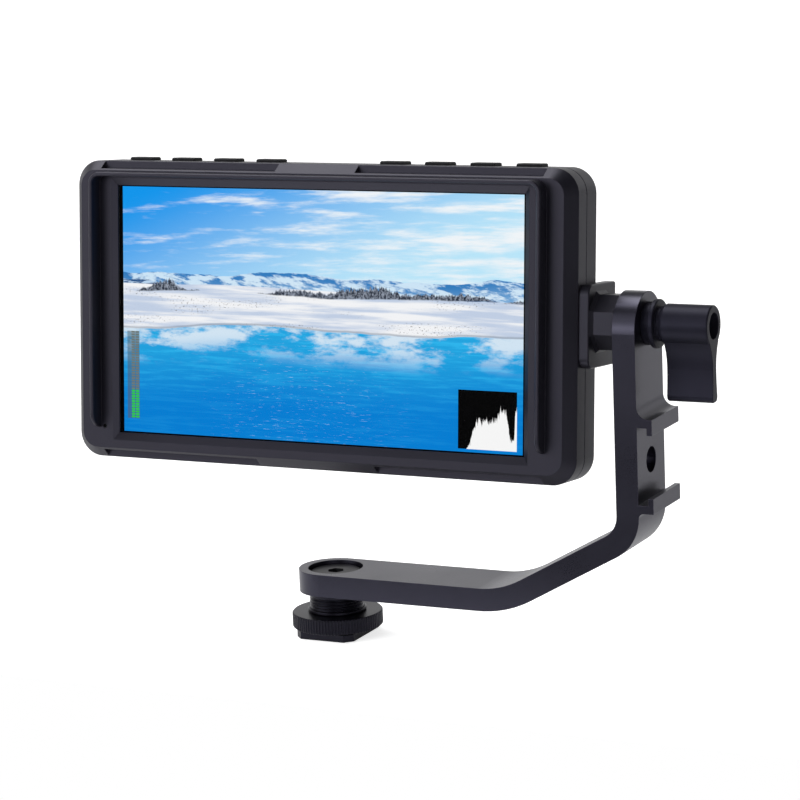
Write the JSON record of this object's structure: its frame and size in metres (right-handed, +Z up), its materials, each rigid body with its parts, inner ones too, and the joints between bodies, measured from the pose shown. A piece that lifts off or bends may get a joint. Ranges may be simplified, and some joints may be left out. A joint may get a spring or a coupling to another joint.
{
  "type": "camera field monitor with tilting arm",
  "caption": "Flat camera monitor with a shallow sun-shade lip and top keys, carried on a bent tilting arm with a clamp knob, a shoe foot with a knurled nut and a cold-shoe slot.",
  "frame": {"origin": "centre of the shoe foot's underside, on the arm's swivel axis", "axes": "+X to the right as the user sees the screen, towards the clamp knob; +Y away from the user; +Z up. At rest the head leans back 5.5 degrees about the tilt axis"},
  "size_m": [0.1689, 0.0295, 0.1204],
  "materials": {
    "black_metal": "black anodised aluminium, satin",
    "arm_metal": "black anodised aluminium, satin",
    "knob_metal": "black anodised aluminium, fine matte",
    "black_steel": "black oxide steel",
    "steel": "plain steel",
    "casing": "black ABS, satin with a fine texture",
    "black_plastic": "black nylon, matte",
    "key_plastic": "black moulded, satin",
    "nylon": "black nylon",
    "clear_plastic": "clear, lightly frosted",
    "screen_glass": "anti-glare cover glass",
    "foam": "black foam tape",
    "picture": null,
    "backlight": "white light guide",
    "tin_plate": "tin-plated sheet steel",
    "flex": "polyimide flat cable",
    "circuit_board": "green solder resist",
    "chip": "black moulded resin",
    "pad": "grey silicone",
    "bare_aluminium": "bare aluminium"
  },
  "bodies": {
    "shoe": {"shoe_foot": "black_metal", "swivel_screw": "black_steel", "swivel_washer": "black_steel"},
    "nut_carrier": {"lock_ring": "black_plastic"},
    "nut": {"shoe_nut": "black_metal"},
    "arm": {"tilt_arm": "arm_metal"},
    "collar": {"clamp_collar": "black_metal"},
    "knob": {"clamp_knob": "knob_metal", "clamp_stud": "steel"},
    "monitor": {"arm_bracket": "arm_metal", "bracket_backing": "steel", "bracket_screws": "steel", "friction_washer": "nylon", "front_bezel": "casing", "rear_cover": "casing", "case_screws": "black_steel", "status_light_pipe": "clear_plastic", "screen_glass": "screen_glass", "glass_gasket": "foam", "lcd_panel": "picture", "backlight_unit": "backlight", "lcd_tray": "tin_plate", "lcd_cable": "flex", "main_board": "circuit_board", "board_screws": "steel", "board_chips": "chip", "thermal_pad": "pad", "heat_spreader": "bare_aluminium", "phone_jack": "black_plastic", "usb_port": "tin_plate", "dc_in_jack": "black_plastic", "dc_out_jack": "black_plastic", "key_board": "circuit_board", "key_cable": "flex", "tact_switches": "chip", "battery_plate": "black_plastic", "plate_screws": "black_steel", "battery_terminals": "black_plastic", "latch_spring": "steel", "hdmi_in_socket": "tin_plate", "hdmi_out_socket": "tin_plate"},
    "latch": {"battery_latch": "key_plastic"},
    "key_1_body": {"key_1": "key_plastic"},
    "key_2_body": {"key_2": "key_plastic"},
    "key_3_body": {"key_3": "key_plastic"},
    "key_4_body": {"key_4": "key_plastic"},
    "key_5_body": {"key_5": "key_plastic"},
    "key_6_body": {"key_6": "key_plastic"},
    "key_7_body": {"key_7": "key_plastic"},
    "key_8_body": {"key_8": "key_plastic"}
  },
  "joints": [
    {"name": "arm_swivel", "type": "hinge", "parent": "shoe", "child": "arm", "pos_m": [0, 0, 0.0113], "axis": [0, 0, 1], "continuous": true},
    {"name": "nut_lift", "type": "slide", "parent": "shoe", "child": "nut_carrier", "axis": [0, 0, 1], "range_m": [-0.00019, 0.00413]},
    {"name": "nut_turn", "type": "hinge", "parent": "nut_carrier", "child": "nut", "pos_m": [0, 0, 0.004], "axis": [0, 0, 1], "range_deg": [-90, 1980]},
    {"name": "clamp_back_off", "type": "slide", "parent": "arm", "child": "collar", "axis": [1, 0, 0], "range_m": [0, 0.001]},
    {"name": "knob_turn", "type": "hinge", "parent": "collar", "child": "knob", "pos_m": [0.09, 0, 0.083], "axis": [1, 0, 0], "range_deg": [0, 360]},
    {"name": "monitor_tilt", "type": "hinge", "parent": "arm", "child": "monitor", "pos_m": [0.08, 0, 0.083], "axis": [1, 0, 0], "continuous": true},
    {"name": "battery_release", "type": "slide", "parent": "monitor", "child": "latch", "axis": [0, -0.9954, 0.0958], "range_m": [0, 0.002], "stiffness_N_per_m": 400, "springref_m": -0.001, "deforming": ["latch_spring"]},
    {"name": "key_1_press", "type": "slide", "parent": "monitor", "child": "key_1_body", "axis": [0, -0.0958, -0.9954], "range_m": [0, 0.0004], "stiffness_N_per_m": 1500, "springref_m": -0.0002},
    {"name": "key_2_press", "type": "slide", "parent": "monitor", "child": "key_2_body", "axis": [0, -0.0958, -0.9954], "range_m": [0, 0.0004], "stiffness_N_per_m": 1500, "springref_m": -0.0002},
    {"name": "key_3_press", "type": "slide", "parent": "monitor", "child": "key_3_body", "axis": [0, -0.0958, -0.9954], "range_m": [0, 0.0004], "stiffness_N_per_m": 1500, "springref_m": -0.0002},
    {"name": "key_4_press", "type": "slide", "parent": "monitor", "child": "key_4_body", "axis": [0, -0.0958, -0.9954], "range_m": [0, 0.0004], "stiffness_N_per_m": 1500, "springref_m": -0.0002},
    {"name": "key_5_press", "type": "slide", "parent": "monitor", "child": "key_5_body", "axis": [0, -0.0958, -0.9954], "range_m": [0, 0.0004], "stiffness_N_per_m": 1500, "springref_m": -0.0002},
    {"name": "key_6_press", "type": "slide", "parent": "monitor", "child": "key_6_body", "axis": [0, -0.0958, -0.9954], "range_m": [0, 0.0004], "stiffness_N_per_m": 1500, "springref_m": -0.0002},
    {"name": "key_7_press", "type": "slide", "parent": "monitor", "child": "key_7_body", "axis": [0, -0.0958, -0.9954], "range_m": [0, 0.0004], "stiffness_N_per_m": 1500, "springref_m": -0.0002},
    {"name": "key_8_press", "type": "slide", "parent": "monitor", "child": "key_8_body", "axis": [0, -0.0958, -0.9954], "range_m": [0, 0.0004], "stiffness_N_per_m": 1500, "springref_m": -0.0002}
  ],
  "couplings": [
    {"joint": "nut_turn", "follows": "nut_lift", "rad_per_m": 8377.6},
    {"joint": "knob_turn", "follows": "clamp_back_off", "rad_per_m": 6283.2}
  ]
}
